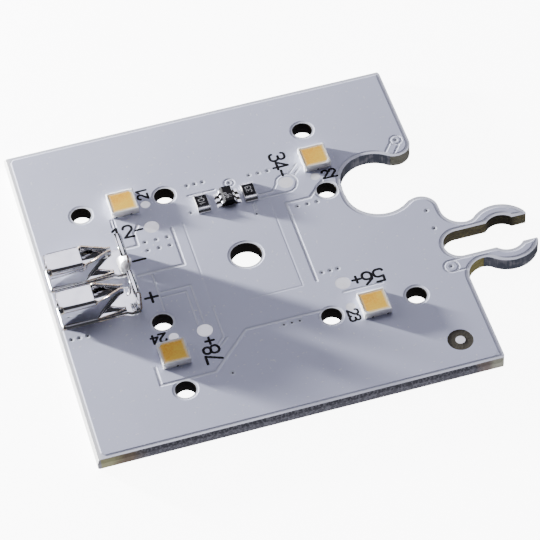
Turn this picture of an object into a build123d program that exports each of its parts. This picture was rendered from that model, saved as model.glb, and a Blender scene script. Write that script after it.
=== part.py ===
from build123d import *
from math import atan2, cos, radians, sin, sqrt
import os

os.makedirs("parts", exist_ok=True)

# Driving sizes of the board. The origin is the screw hole's axis on the back face, +Z is the lit side
led_pitch = 25.4
board_thickness = 1.75
routed_side_gap = 0.1
score_depth = 0.5
score_inset = 0.25
routed_corner = 0.8
screw_hole_radius = 1.95
pin_hole_radius = 1.25
pin_hole_offset = 5.45

# Edge connector: a sprung fork on one module clips into the notch of the next, which is turned half round
connector_offset = 6.35
notch_radius = 4.35
notch_stretch = 1.7
notch_wall = 0.72
lip_radius = 2.15
plating_thickness = 0.05
mating_gap = 0.2
prong_spread = 0.6
ring_width = 1.78
slot_width = 4.12
slot_root_gap = 0.6
neck_width = 1.1
neck_fillet = 1.5
tip_flat = 0.356
tip_corner = 0.12
plating_split = 1.2
tip_plating_gap = 0.25
lip_plating_angle = 12

# Pads on the lit side
pad_thickness = 0.035
solder_thickness = 0.05
test_pad_radius = 0.98
test_pad_offset = (2.6, -4.6)
sensor_pad_radius = 0.62
sensor_pad_offset = (2.8, -0.7)
fiducial_radius = 0.6
fiducial_setback = 4.4

# Light emitting packages
led_size = 3.55
led_height = 0.9
led_corner = 0.12
led_wall = 0.2
led_cut_corner = 0.55
cup_depth = 0.5
cup_wall_angle = 12
phosphor_recess = 0.03
frame_thickness = 0.2
frame_margin = 0.2
frame_gap = 0.35
cathode_width = 0.95
tie_bar_width = 0.24
tie_bar_height = 0.14
end_tie_bars = (-1.25, 0.7)

# Chip resistors
resistor_places = ((-3.03, 9.82), (3.16, 9.82))
resistor_length = 2.5
resistor_width = 1.6
resistor_height = 0.6
cap_length = 0.32
cap_thickness = 0.05
coat_thickness = 0.035
coat_side_margin = 0.06
solder_toe = 0.32
solder_climb_share = 0.6
solder_sag = 0.09

# Six-lead driver
driver_place = (0.3, 9.75)
driver_length = 2.6
driver_width = 1.5
driver_height = 0.95
driver_standoff = 0.08
driver_draft = 8
parting_share = 0.5
driver_bevel = 0.2
driver_solder_margin = 0.1
lead_pitch = 0.9
lead_width = 0.4
lead_thickness = 0.15
lead_span = 2.95
lead_foot = 0.42
lead_bend = 0.14
lead_root = 0.25
lead_shoulder = 0.12

# Wire terminals, each folded from one strip of tinned sheet
terminal_mid = 0.3
terminal_spacing = 6.3
entry_setback = 0.85
sheet = 0.25
cage_width = 3.4
cage_height = 3.45
cage_bend = 0.5
flare_length = 0.4
flare_rise = 0.16
cage_end = 4.35
seam_drop = 0.1
seam_width = 0.08
relief_width = 0.3
neck_run = 3.8
base_shoulder = 0.45
base_tail_width = 4.0
base_tail_corner = 0.35
stop_x = 10.05
stop_width = 3.7
stop_height = 3.65
stop_bend = 0.5
stop_hood = 0.95
tine_top = 3.25
tine_root_low = 0.3
tine_tip_low = 2.3
tine_tip_x = 8.2
tine_tip_gap = 0.3
tine_lead = 0.35
tine_nose = 0.5
tine_bend = 0.3
terminal_solder_margin = 0.35

# Values that follow from the sizes above. Modules tile so that the packages keep their pitch over the joint
module_pitch = 2 * led_pitch
grid_edge = module_pitch / 2
side_x = grid_edge - routed_side_gap
board_top = board_thickness
seat = board_top + solder_thickness
station = led_pitch / 2
corner_names = ("back_left", "back_right", "front_right", "front_left")


def quarter_turned(place, turns):
    """The place that a clockwise quarter turn about the screw hole brings round."""
    x, y = place
    for _ in range(turns):
        x, y = y, -x
    return x, y


def finish(piece, name):
    piece.part.label = name
    export_step(piece.part, f"parts/{name}.step")


# Points of the notch: two arcs joined by a short straight, running out over round lips. Its bottom keeps
# clear of the pin hole beside it
notch_x = station + pin_hole_radius + notch_wall + notch_radius
notch_low_y = connector_offset - notch_stretch / 2
lip_x = side_x - lip_radius
lip_y = notch_low_y - sqrt((notch_radius + lip_radius) ** 2 - (lip_x - notch_x) ** 2)
lip_angle = atan2(lip_y - notch_low_y, lip_x - notch_x)


def notch_point(radius):
    """The point where the lower notch arc of that radius runs into its lip."""
    return notch_x + radius * cos(lip_angle), notch_low_y + radius * sin(lip_angle)


# Points of the fork: its upper prong, which is mirrored to make the lower one
fork_y = -connector_offset
head_x = module_pitch - notch_x
head_y = fork_y + prong_spread
head_radius = notch_radius - 2 * plating_thickness - mating_gap
eye_radius = head_radius - ring_width
slot_half = slot_width / 2
slot_top = fork_y + slot_half
slot_root_x = side_x + slot_root_gap
neck_y = slot_top + neck_width
neck_centre_y = neck_y + neck_fillet
neck_x = head_x - sqrt((head_radius + neck_fillet) ** 2 - (head_y - neck_centre_y) ** 2)
neck_angle = atan2(neck_centre_y - head_y, neck_x - head_x)
tip_y = slot_top + tip_flat
tip_reach = sqrt(head_radius**2 - (tip_y - head_y) ** 2)
tip_x = head_x + tip_reach
eye_half = sqrt(eye_radius**2 - (slot_top - head_y) ** 2)


def head_point(radius, angle):
    """A point of the upper prong's head arc."""
    return head_x + radius * cos(angle), head_y + radius * sin(angle)


# Board: glass-epoxy sheet, scored on three sides and routed on the connector side
notch_plane = Plane.XZ.offset(-connector_offset)
fork_plane = Plane.XZ.offset(connector_offset)
with BuildPart() as circuit_board:
    with BuildSketch() as outline:
        with BuildLine() as edge_run:
            with BuildLine(mode=Mode.ADD) as notch_run:
                Line((notch_x - notch_radius, connector_offset), (notch_x - notch_radius, notch_low_y))
                ThreePointArc(
                    (notch_x - notch_radius, notch_low_y),
                    (notch_x, notch_low_y - notch_radius),
                    notch_point(notch_radius),
                )
                ThreePointArc(
                    notch_point(notch_radius),
                    (lip_x + lip_radius * cos(radians(70)), lip_y + lip_radius * sin(radians(70))),
                    (side_x, lip_y),
                )
                mirror(about=notch_plane)
            with BuildLine(mode=Mode.ADD) as fork_run:
                TangentArc((side_x, neck_y + neck_x - side_x), (neck_x, neck_y), tangent=(0, -1))
                TangentArc((neck_x, neck_y), head_point(head_radius, neck_angle), tangent=(1, 0))
                ThreePointArc(
                    head_point(head_radius, neck_angle),
                    head_point(head_radius, radians(90)),
                    (tip_x, tip_y),
                )
                Polyline((tip_x, tip_y), (tip_x, slot_top), (head_x + eye_half, slot_top))
                ThreePointArc(
                    (head_x + eye_half, slot_top),
                    head_point(eye_radius, radians(90)),
                    (head_x - eye_half, slot_top),
                )
                Line((head_x - eye_half, slot_top), (slot_root_x, slot_top))
                TangentArc((slot_root_x, slot_top), (slot_root_x - slot_half, fork_y), tangent=(-1, 0))
                mirror(about=fork_plane)
            Line((side_x, lip_y), (side_x, neck_y + neck_x - side_x))
            Polyline(
                (side_x, 2 * fork_y - neck_y - neck_x + side_x),
                (side_x, -grid_edge),
                (-grid_edge, -grid_edge),
                (-grid_edge, grid_edge),
                (side_x, grid_edge),
                (side_x, 2 * connector_offset - lip_y),
            )
        make_face()
    extrude(amount=board_thickness)
    upright = circuit_board.edges().filter_by(Axis.Z)
    fillet(upright.group_by(Axis.X)[-1], tip_corner)
    side_edges = upright.filter_by_position(Axis.X, side_x - 0.01, side_x + 0.01).sort_by(Axis.Y)
    fillet((side_edges[0], side_edges[-1]), routed_corner)
    # The scoring blade leaves a sloping lip above and below the web that is snapped
    for across_edge in (Plane.XZ, Plane.YZ, Plane((0, 0, 0), x_dir=(0, -1, 0), z_dir=(-1, 0, 0))):
        with BuildSketch(across_edge):
            with BuildLine():
                Polyline(
                    (-grid_edge + score_inset, board_top),
                    (-grid_edge, board_top - score_depth),
                    (-grid_edge - score_inset, board_top - score_depth),
                    (-grid_edge - score_inset, board_top),
                    close=True,
                )
            make_face()
            mirror(about=Plane.XZ.offset(-board_top / 2))
        extrude(amount=module_pitch, both=True, mode=Mode.SUBTRACT)
    with Locations((0, 0, board_top)):
        Hole(screw_hole_radius)
    with PolarLocations(0, 4):
        with Locations(
            (-station - pin_hole_offset, station, board_top),
            (-station + pin_hole_offset, station, board_top),
        ):
            Hole(pin_hole_radius)
finish(circuit_board, "circuit_board")

# Edge plating: copper and tin on the mating walls, split so that the two poles stay apart
wall_mid = plating_thickness / 2
split_y = connector_offset - plating_split / 2
lip_end = lip_angle + radians(180 - lip_plating_angle)
lip_end_radius = lip_radius + wall_mid
for flipped, level in ((False, "lower"), (True, "upper")):
    with BuildPart() as notch_plating:
        with BuildSketch():
            with BuildLine():
                Line(
                    (notch_x - notch_radius + wall_mid, split_y),
                    (notch_x - notch_radius + wall_mid, notch_low_y),
                )
                ThreePointArc(
                    (notch_x - notch_radius + wall_mid, notch_low_y),
                    (notch_x, notch_low_y - notch_radius + wall_mid),
                    notch_point(notch_radius - wall_mid),
                )
                TangentArc(
                    notch_point(notch_radius - wall_mid),
                    (lip_x + lip_end_radius * cos(lip_end), lip_y + lip_end_radius * sin(lip_end)),
                    tangent=(-sin(lip_angle), cos(lip_angle)),
                )
                if flipped:
                    mirror(about=notch_plane, mode=Mode.REPLACE)
            trace(line_width=plating_thickness)
        extrude(amount=board_thickness)
    finish(notch_plating, f"notch_plating_{level}")

tip_plating_angle = atan2(tip_y - head_y, tip_reach) + tip_plating_gap / head_radius
for flipped, level in ((False, "upper"), (True, "lower")):
    with BuildPart() as fork_plating:
        with BuildSketch():
            with BuildLine():
                TangentArc(
                    (neck_x, neck_y + wall_mid),
                    head_point(head_radius + wall_mid, neck_angle),
                    tangent=(1, 0),
                )
                ThreePointArc(
                    head_point(head_radius + wall_mid, neck_angle),
                    head_point(head_radius + wall_mid, radians(90)),
                    head_point(head_radius + wall_mid, tip_plating_angle),
                )
                if flipped:
                    mirror(about=fork_plane, mode=Mode.REPLACE)
            trace(line_width=plating_thickness)
        extrude(amount=board_thickness)
    finish(fork_plating, f"fork_plating_{level}")

# Bare pads for test probes and temperature probes, one of each beside every package
for turns, name in enumerate(corner_names):
    for kind, (offset_x, offset_y), radius in (
        ("test_pad", test_pad_offset, test_pad_radius),
        ("sensor_pad", sensor_pad_offset, sensor_pad_radius),
    ):
        place = (-station + offset_x, station + offset_y)
        with BuildPart() as pad:
            with BuildSketch(Plane((*quarter_turned(place, turns), board_top))):
                Circle(radius)
            extrude(amount=pad_thickness)
        finish(pad, f"{kind}_{name}")
with BuildPart() as fiducial:
    with BuildSketch(Plane((grid_edge - fiducial_setback, -grid_edge + fiducial_setback, board_top))):
        Circle(fiducial_radius)
    extrude(amount=pad_thickness)
finish(fiducial, "fiducial_dot")

# Packages: a moulded white body round two contact plates, its cup filled with phosphor
plate_length = led_size - 2 * frame_margin
anode_width = plate_length - cathode_width - frame_gap


def contact_plates(plane, height):
    """The two contact plates of a package, standing on the plane."""
    with BuildPart() as plates:
        with BuildSketch(plane):
            with Locations((-plate_length / 2, 0)):
                Rectangle(cathode_width, plate_length, align=(Align.MIN, Align.CENTER))
            with Locations((plate_length / 2, 0)):
                Rectangle(anode_width, plate_length, align=(Align.MAX, Align.CENTER))
        extrude(amount=height)
    return plates


for turns, name in enumerate(corner_names):
    along = quarter_turned((1, 0), turns)
    pad_plane = Plane((*quarter_turned((-station, station), turns), board_top), x_dir=(*along, 0))
    led_plane = pad_plane.offset(solder_thickness)
    rim_plane = led_plane.offset(led_height)
    finish(contact_plates(pad_plane, solder_thickness), f"led_solder_{name}")

    plates = contact_plates(led_plane, frame_thickness)
    with BuildPart() as led_frame:
        add(plates.part)
        with BuildSketch(led_plane):
            with Locations([(x, 0) for x in end_tie_bars]):
                Rectangle(tie_bar_width, led_size)
            with GridLocations(led_size - frame_margin, 1, 2, 1):
                Rectangle(frame_margin, tie_bar_width)
        extrude(amount=tie_bar_height)
    finish(led_frame, f"led_frame_{name}")

    with BuildPart() as led_phosphor:
        with BuildSketch(rim_plane.offset(-phosphor_recess)):
            window = Rectangle(led_size - 2 * led_wall, led_size - 2 * led_wall)
            chamfer(window.vertices().sort_by(lambda v: v.X + v.Y)[-1], led_cut_corner)
        extrude(amount=phosphor_recess - cup_depth, taper=cup_wall_angle)
    finish(led_phosphor, f"led_phosphor_{name}")

    with BuildPart() as led_body:
        with BuildSketch(led_plane):
            RectangleRounded(led_size, led_size, led_corner)
        extrude(amount=led_height)
        extrude(led_phosphor.faces().sort_by(Axis.Z)[-1], amount=phosphor_recess, mode=Mode.SUBTRACT)
        add([led_phosphor.part, led_frame.part], mode=Mode.SUBTRACT)
    finish(led_body, f"led_body_{name}")

# Chip resistors: ceramic core, black coat over the film, and a tinned cap and a solder joint at each end
solder_climb = resistor_height * solder_climb_share
for number, (resistor_x, resistor_y) in enumerate(resistor_places, start=1):
    side_view = Plane((resistor_x, resistor_y, seat), x_dir=(0, 1, 0), z_dir=(1, 0, 0))
    core_length = resistor_length - 2 * cap_thickness
    with BuildPart() as resistor_core:
        with BuildSketch(side_view):
            with Locations((0, cap_thickness)):
                Rectangle(
                    core_length,
                    resistor_height - 2 * cap_thickness,
                    align=(Align.CENTER, Align.MIN),
                )
        extrude(amount=resistor_width / 2, both=True)
    finish(resistor_core, f"resistor_{number}_core")

    with BuildPart() as resistor_coat:
        with BuildSketch(side_view):
            with Locations((0, resistor_height - cap_thickness)):
                Rectangle(
                    resistor_length - 2 * cap_length,
                    coat_thickness,
                    align=(Align.CENTER, Align.MIN),
                )
        extrude(amount=resistor_width / 2 - coat_side_margin, both=True)
    finish(resistor_coat, f"resistor_{number}_coat")

    for end, end_name in ((-1, "front"), (1, "back")):
        with BuildPart() as resistor_cap:
            with BuildSketch(side_view):
                with Locations((end * (resistor_length - cap_length) / 2, resistor_height / 2)):
                    Rectangle(cap_length, resistor_height)
            extrude(amount=resistor_width / 2, both=True)
            outer_edges = resistor_cap.edges().filter_by(Axis.X).sort_by(Axis.Y, reverse=end > 0)[:2]
            fillet(outer_edges, cap_thickness / 2)
            add(resistor_core.part, mode=Mode.SUBTRACT)
        finish(resistor_cap, f"resistor_{number}_cap_{end_name}")

    with BuildPart() as resistor_solder:
        with BuildSketch(side_view.offset(-resistor_width / 2)):
            with BuildLine():
                joint = Polyline(
                    (resistor_length / 2 + solder_toe, -solder_thickness),
                    (resistor_length / 2 - cap_length, -solder_thickness),
                    (resistor_length / 2 - cap_length, 0),
                    (resistor_length / 2, 0),
                    (resistor_length / 2, solder_climb),
                )
                SagittaArc(joint @ 1, joint @ 0, solder_sag)
            make_face()
            mirror(about=Plane.YZ)
        extrude(amount=resistor_width)
    finish(resistor_solder, f"resistor_{number}_solder")

# Driver: a six-lead moulded package, drafted both ways from its parting line, bevelled along one edge
driver_x, driver_y = driver_place
parting_z = driver_standoff + driver_height * parting_share
half_span = lead_span / 2
# The leads are counted down the left row and up the right one
lead_rows = ((-1, 1), (-1, 0), (-1, -1), (1, -1), (1, 0), (1, 1))
with BuildPart() as driver_body:
    with BuildSketch(Plane((driver_x, driver_y, seat + parting_z))) as parting_line:
        Rectangle(driver_width, driver_length)
    extrude(amount=driver_height * (1 - parting_share), taper=driver_draft)
    extrude(parting_line.sketch, amount=-driver_height * parting_share, taper=driver_draft)
    chamfer(driver_body.faces().sort_by(Axis.Z)[-1].edges().sort_by(Axis.X)[0], driver_bevel)
    for number, (side, row) in enumerate(lead_rows, start=1):
        lead_view = Plane(
            (driver_x, driver_y + row * lead_pitch, seat), x_dir=(side, 0, 0), z_dir=(0, -side, 0)
        )
        with BuildSketch(lead_view):
            with BuildLine():
                Line((driver_width / 2 - lead_root, parting_z), (driver_width / 2 + lead_shoulder, parting_z))
            trace(line_width=lead_thickness)
        extrude(amount=lead_width / 2, both=True, mode=Mode.SUBTRACT)
finish(driver_body, "driver_body")

for number, (side, row) in enumerate(lead_rows, start=1):
    lead_view = Plane((driver_x, driver_y + row * lead_pitch, seat), x_dir=(side, 0, 0), z_dir=(0, -side, 0))
    with BuildPart() as driver_lead:
        with BuildSketch(lead_view):
            with BuildLine():
                FilletPolyline(
                    (driver_width / 2 - lead_root, parting_z),
                    (driver_width / 2 + lead_shoulder, parting_z),
                    (half_span - lead_foot, lead_thickness / 2),
                    (half_span, lead_thickness / 2),
                    radius=lead_bend,
                )
            trace(line_width=lead_thickness)
        extrude(amount=lead_width / 2, both=True)
    finish(driver_lead, f"driver_lead_{number}")

with BuildPart() as driver_solder:
    with BuildSketch(Plane((driver_x, driver_y, board_top))):
        with GridLocations(lead_span - lead_foot, lead_pitch, 2, 3):
            Rectangle(lead_foot + 2 * driver_solder_margin, lead_width + driver_solder_margin)
    extrude(amount=solder_thickness)
finish(driver_solder, "driver_solder")

# Wire terminals: one strip of tinned sheet folded into a cage, two gripping tines and a hooded stop
half_cage = cage_width / 2
seam_low = cage_height - cage_bend - seam_drop - seam_width
tine_offset = half_cage - sheet / 2
nose_offset = (tine_tip_gap + sheet) / 2
shoulder_x = cage_end + neck_run
floor_end = stop_x - stop_bend
entry_x = -grid_edge + entry_setback
with BuildSketch() as floor_tail:
    with BuildLine():
        Polyline(
            (cage_end, -half_cage),
            (cage_end, half_cage),
            (shoulder_x, half_cage),
            (shoulder_x + base_shoulder, base_tail_width / 2),
            (floor_end, base_tail_width / 2),
            (floor_end, -base_tail_width / 2),
            (shoulder_x + base_shoulder, -base_tail_width / 2),
            (shoulder_x, -half_cage),
            close=True,
        )
    make_face()
    fillet(floor_tail.vertices().group_by(Axis.X)[-1], base_tail_corner)

for name, side in (("minus", 1), ("plus", -1)):
    entry = (entry_x, terminal_mid + side * terminal_spacing / 2, seat)
    plan_view = Plane(entry)
    long_view = Plane(entry, x_dir=(1, 0, 0), z_dir=(0, -1, 0))
    wire_view = Plane(entry, x_dir=(0, 1, 0), z_dir=(1, 0, 0))

    with BuildPart() as tines:
        with BuildSketch(plan_view):
            with BuildLine():
                FilletPolyline(
                    (cage_end, tine_offset),
                    (cage_end + tine_lead, tine_offset),
                    (tine_tip_x - tine_nose, nose_offset),
                    (tine_tip_x, nose_offset),
                    radius=tine_bend,
                )
            trace(line_width=sheet)
            mirror(about=Plane.XZ)
        extrude(amount=cage_height)
        with BuildSketch(long_view):
            with BuildLine():
                Polyline(
                    (cage_end, tine_root_low),
                    (tine_tip_x, tine_tip_low),
                    (tine_tip_x, tine_top),
                    (cage_end + tine_lead, tine_top),
                    (cage_end, seam_low),
                    close=True,
                )
            make_face()
        extrude(amount=half_cage, both=True, mode=Mode.INTERSECT)

    with BuildPart() as terminal:
        with BuildSketch(wire_view.offset(flare_length)):
            with Locations((0, cage_height / 2)):
                RectangleRounded(cage_width, cage_height, cage_bend)
            offset(amount=-sheet, mode=Mode.SUBTRACT)
        extrude(amount=cage_end - flare_length)
        with BuildSketch(long_view.offset(half_cage)):
            with Locations((0, seam_low)):
                Rectangle(cage_end, seam_width, align=(Align.MIN, Align.MIN))
        extrude(amount=-sheet, mode=Mode.SUBTRACT)
        # Tabs flared at the entry guide the wire: one on top, one at each side, and a flat lip below
        with BuildSketch(long_view):
            with BuildLine():
                Polyline(
                    (flare_length, cage_height),
                    (0, cage_height + flare_rise),
                    (0, cage_height + flare_rise - sheet),
                    (flare_length, cage_height - sheet),
                    close=True,
                )
            make_face()
            Rectangle(flare_length, sheet, align=(Align.MIN, Align.MIN))
        extrude(amount=half_cage - cage_bend, both=True)
        with BuildSketch(plan_view.offset(cage_bend)):
            with BuildLine():
                Polyline(
                    (flare_length, half_cage),
                    (0, half_cage + flare_rise),
                    (0, half_cage + flare_rise - sheet),
                    (flare_length, half_cage - sheet),
                    close=True,
                )
            make_face()
            mirror(about=Plane.XZ)
        extrude(amount=seam_low - cage_bend)
        with BuildSketch(plan_view):
            add(floor_tail.sketch)
        extrude(amount=sheet)
        with BuildSketch(long_view):
            with BuildLine():
                FilletPolyline(
                    (floor_end - base_tail_corner, sheet / 2),
                    (stop_x - sheet / 2, sheet / 2),
                    (stop_x - sheet / 2, stop_height - sheet / 2),
                    (stop_x - stop_hood, stop_height - sheet / 2),
                    radius=stop_bend - sheet / 2,
                )
            trace(line_width=sheet)
        extrude(amount=stop_width / 2, both=True)
        add(tines.part)
    finish(terminal, f"terminal_{name}")

    with BuildPart() as terminal_solder:
        with BuildSketch(plan_view.offset(-solder_thickness)):
            add(floor_tail.sketch)
            Rectangle(cage_end, cage_width, align=(Align.MIN, Align.CENTER))
            offset(amount=terminal_solder_margin)
        extrude(amount=solder_thickness)
    finish(terminal_solder, f"terminal_{name}_solder")
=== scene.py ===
from math import cos, pi, radians, sin

import bmesh
import bpy
import numpy as np
from mathutils import Matrix, Vector
from mathutils.geometry import delaunay_2d_cdt


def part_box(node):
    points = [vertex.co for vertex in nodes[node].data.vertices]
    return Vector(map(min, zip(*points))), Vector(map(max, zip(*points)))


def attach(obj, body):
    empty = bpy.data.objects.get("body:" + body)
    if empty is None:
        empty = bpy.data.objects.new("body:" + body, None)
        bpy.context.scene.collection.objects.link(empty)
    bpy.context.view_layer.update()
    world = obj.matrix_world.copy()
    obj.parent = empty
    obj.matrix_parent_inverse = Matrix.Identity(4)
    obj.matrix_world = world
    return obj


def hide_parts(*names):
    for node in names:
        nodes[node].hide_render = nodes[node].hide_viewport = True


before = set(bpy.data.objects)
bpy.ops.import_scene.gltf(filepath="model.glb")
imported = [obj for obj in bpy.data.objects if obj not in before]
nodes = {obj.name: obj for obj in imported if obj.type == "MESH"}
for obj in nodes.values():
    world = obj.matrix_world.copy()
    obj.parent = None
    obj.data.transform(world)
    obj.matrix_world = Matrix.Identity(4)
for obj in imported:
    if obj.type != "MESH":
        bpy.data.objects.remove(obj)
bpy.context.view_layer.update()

mm = 0.001


# Laminate. Layers of woven glass in epoxy, 1.75 mm thick, with a white coat on the back. It was scored and
# snapped off on three sides, where its edge is grey with glass. Its left face is painted light, and near each
# corner the edge is painted with light shining through the laminate, brown and then bright yellow.
# It was routed round the notch and the fork, and drilled.
class Value:
    """A socket of a node tree. Arithmetic on it adds Math nodes."""

    def __init__(self, owner, socket):
        self.owner = owner
        self.socket = socket

    def maths(self, operation, *values):
        """A Math node on these values."""
        return self.owner.node("ShaderNodeMath", {"operation": operation}, dict(enumerate(values)))

    def __add__(self, other):
        return self.maths("ADD", self, other)

    def __radd__(self, other):
        return self.maths("ADD", other, self)

    def __sub__(self, other):
        return self.maths("SUBTRACT", self, other)

    def __rsub__(self, other):
        return self.maths("SUBTRACT", other, self)

    def __mul__(self, other):
        return self.maths("MULTIPLY", self, other)

    def __rmul__(self, other):
        return self.maths("MULTIPLY", other, self)

    def __truediv__(self, other):
        return self.maths("DIVIDE", self, other)

    def __lt__(self, other):
        return self.maths("LESS_THAN", self, other)

    def __gt__(self, other):
        return self.maths("GREATER_THAN", self, other)

    def __or__(self, other):
        return self.maths("MAXIMUM", self, other)

    def __abs__(self):
        return self.maths("ABSOLUTE", self)

    def band(self, low, high):
        """0 below low, 1 above high and a smooth rise between them."""
        values = {"Value": self, "From Min": low, "From Max": high}
        return self.owner.node("ShaderNodeMapRange", {"interpolation_type": "SMOOTHSTEP"}, values)


class Nodes:
    """A node tree, whose nodes are all made by one method."""

    def feed(self, node, values):
        """Gives a node's sockets their values or links. A colour has three numbers."""
        for key, value in values.items():
            if isinstance(value, Value):
                self.tree.links.new(value.socket, node.inputs[key])
            elif isinstance(value, tuple) and len(value) == 3 and len(node.inputs[key].default_value) == 4:
                node.inputs[key].default_value = (*value, 1)
            else:
                node.inputs[key].default_value = value

    def node(self, kind, settings=None, values=None, output=0):
        """Any node of that kind: its settings are made first, then its sockets get values or links."""
        made = self.tree.nodes.new(kind)
        for name, setting in (settings or {}).items():
            setattr(made, name, setting)
        self.feed(made, values or {})
        return Value(self, made.outputs[output])


class Finish(Nodes):
    """One material, with a Principled shader that takes its constants on its own sockets."""

    def __init__(self, name, constants):
        self.material = bpy.data.materials.new(name)
        self.material.use_nodes = True
        self.tree = self.material.node_tree
        self.shader = self.tree.nodes["Principled BSDF"]
        self.feed(self.shader, constants)

    def place(self):
        """The three Object coordinates, in millimetres."""
        spot = self.node("ShaderNodeTexCoord", output="Object")
        parts = self.node("ShaderNodeSeparateXYZ", values={"Vector": spot}).socket.node
        return [Value(self, parts.outputs[axis]) / mm for axis in "XYZ"]

    def noise(self, cycles, stretch=(1, 1, 1), detail=2.0):
        """Noise from about 0.3 to 0.7, with so many cycles for each millimetre."""
        spot = self.node("ShaderNodeTexCoord", output="Object")
        spread = tuple(cycles / mm * part for part in stretch)
        spot = self.node("ShaderNodeMapping", values={"Vector": spot, "Scale": spread})
        return self.node("ShaderNodeTexNoise", values={"Vector": spot, "Scale": 1.0, "Detail": detail})

    def mix(self, factor, first, second):
        """A colour between two, by a factor."""
        return self.node("ShaderNodeMix", {"data_type": "RGBA"}, {0: factor, 6: first, 7: second}, output=2)

    def colour(self, value):
        self.feed(self.shader, {"Base Color": value})

    def roughness(self, value):
        self.feed(self.shader, {"Roughness": value})

    def bump(self, height, depth):
        """Raises the surface by height times depth, in millimetres."""
        values = {"Height": height, "Distance": depth * mm, "Strength": 1.0}
        self.feed(self.shader, {"Normal": self.node("ShaderNodeBump", values=values)})


def named(*parts):
    """The CAD nodes whose names hold one of these parts."""
    return [name for name in nodes if any(part in name for part in parts)]


def dress(finish, *parts):
    """Gives the CAD nodes whose names hold one of these parts their material."""
    for name in named(*parts):
        nodes[name].data.materials.clear()
        nodes[name].data.materials.append(finish.material)


board_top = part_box("circuit_board")[1].z / mm
scored_line = 24.95
web_half, web_end = 0.38, 0.5
drilled_and_shaded_reach = 19.5
neck_line = 7.0
notch_line = 4.0
recess_shade_spot = (32.0, -3.4)
recess_shade_reach = (1.4, 2.6)
top_skin = 0.004
back_coat = 0.015
laminate = Finish("laminate", {"Specular IOR Level": 0.12})
x, y, z = laminate.place()
bundles = laminate.noise(1.0, (0.5, 0.5, 5.0)).band(0.35, 0.65)
crumbs = laminate.noise(3.6, detail=4.0).band(0.44, 0.6)
speckle = laminate.noise(14.0, detail=3.0)
scored = (abs(y) > scored_line) | (x < -scored_line)
drilled_and_shaded = (abs(x) < drilled_and_shaded_reach) * (abs(y) < drilled_and_shaded_reach)
recess_shade = laminate.node("ShaderNodeCombineXYZ", values={0: x - recess_shade_spot[0], 1: y - recess_shade_spot[1]})
recess_shade = laminate.node("ShaderNodeVectorMath", {"operation": "LENGTH"}, {0: recess_shade}, output="Value")
routed_tone_and_shade = laminate.mix(bundles * 0.6 + crumbs * 0.25, (0.14, 0.125, 0.075), (0.24, 0.22, 0.14))
neck_tone = laminate.mix(bundles, (0.42, 0.37, 0.11), (0.54, 0.49, 0.2))
notch_tone = laminate.mix(bundles, (0.3, 0.29, 0.2), (0.42, 0.41, 0.32))
routed_tone_and_shade = laminate.mix((y * -1).band(neck_line, neck_line + 1), routed_tone_and_shade, neck_tone)
routed_tone_and_shade = laminate.mix(y.band(notch_line, notch_line + 1), routed_tone_and_shade, notch_tone)
# Painted shade: a dark spot in the fork's inner recess, darkest at its middle.
routed_tone_and_shade = laminate.mix(recess_shade.band(*recess_shade_reach), (0.03, 0.027, 0.016), routed_tone_and_shade)
web = 1 - abs(z - board_top / 2).band(web_half, web_end)
scored_tone_and_painted_light = laminate.mix(web, (0.19, 0.19, 0.21), (0.24, 0.24, 0.26))
scored_tone_and_painted_light = laminate.mix(crumbs * 0.6, scored_tone_and_painted_light, (0.58, 0.58, 0.62))
ragged = laminate.noise(0.7, detail=3.0) * 2.0
leftward = x * -1 + ragged
rightward = x + ragged
# Painted light shining through the laminate near each corner: brown where it fades, bright yellow nearest the
# corner.
scored_tone_and_painted_light = laminate.mix(leftward.band(20.2, 22.6) * 0.85, scored_tone_and_painted_light, (0.5, 0.38, 0.24))
scored_tone_and_painted_light = laminate.mix(leftward.band(23.0, 24.8), scored_tone_and_painted_light, (1.0, 0.98, 0.52))
scored_tone_and_painted_light = laminate.mix(rightward.band(22.3, 23.6) * 0.75, scored_tone_and_painted_light, (0.6, 0.48, 0.38))
scored_tone_and_painted_light = laminate.mix(rightward.band(24.2, 25.4), scored_tone_and_painted_light, (1.0, 1.0, 0.72))
# Painted light: the left face, which faces the lamp, is coloured nearly white.
scored_tone_and_painted_light = laminate.mix(x < -scored_line, scored_tone_and_painted_light, (0.9, 0.9, 0.88))
tone = laminate.mix(scored, routed_tone_and_shade, scored_tone_and_painted_light)
tone = laminate.mix(speckle.band(0.55, 0.72) * 0.25, tone, (0.6, 0.59, 0.55))
# Hole walls: dark brown drilled laminate, darkened to near black as painted shade deep in the holes.
tone = laminate.mix(drilled_and_shaded * (z < board_top - top_skin), tone, (0.009, 0.0055, 0.002))
tone = laminate.mix(z > board_top - top_skin, tone, (0.085, 0.078, 0.06))
laminate.colour(laminate.mix(z < back_coat, tone, (0.74, 0.74, 0.78)))
laminate.roughness(speckle * 0.3 + 0.5)
laminate.bump(speckle * 0.6 + crumbs, 0.02)
dress(laminate, "circuit_board")

# Solder mask. A white coat a few hundredths of a millimetre thick, printed over the etched copper and cured.
# It dips where the copper is etched away: along the edges, round the holes and between the copper areas. It
# is left open over every pad, round the fiducial and a little way round each hole.
over_copper = 0.054
over_laminate = 0.008
slope = 0.2
slope_shares = (0, 0.3, 0.7, 1)
gap_half = 0.07
fine_gap_half = 0.02
faint_depth = 0.35
edge_pullback = 0.38
hole_pullback = 0.22
hole_clearance = 0.06
fiducial_window = 1.6
window_under_driver = 0.2


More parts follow.
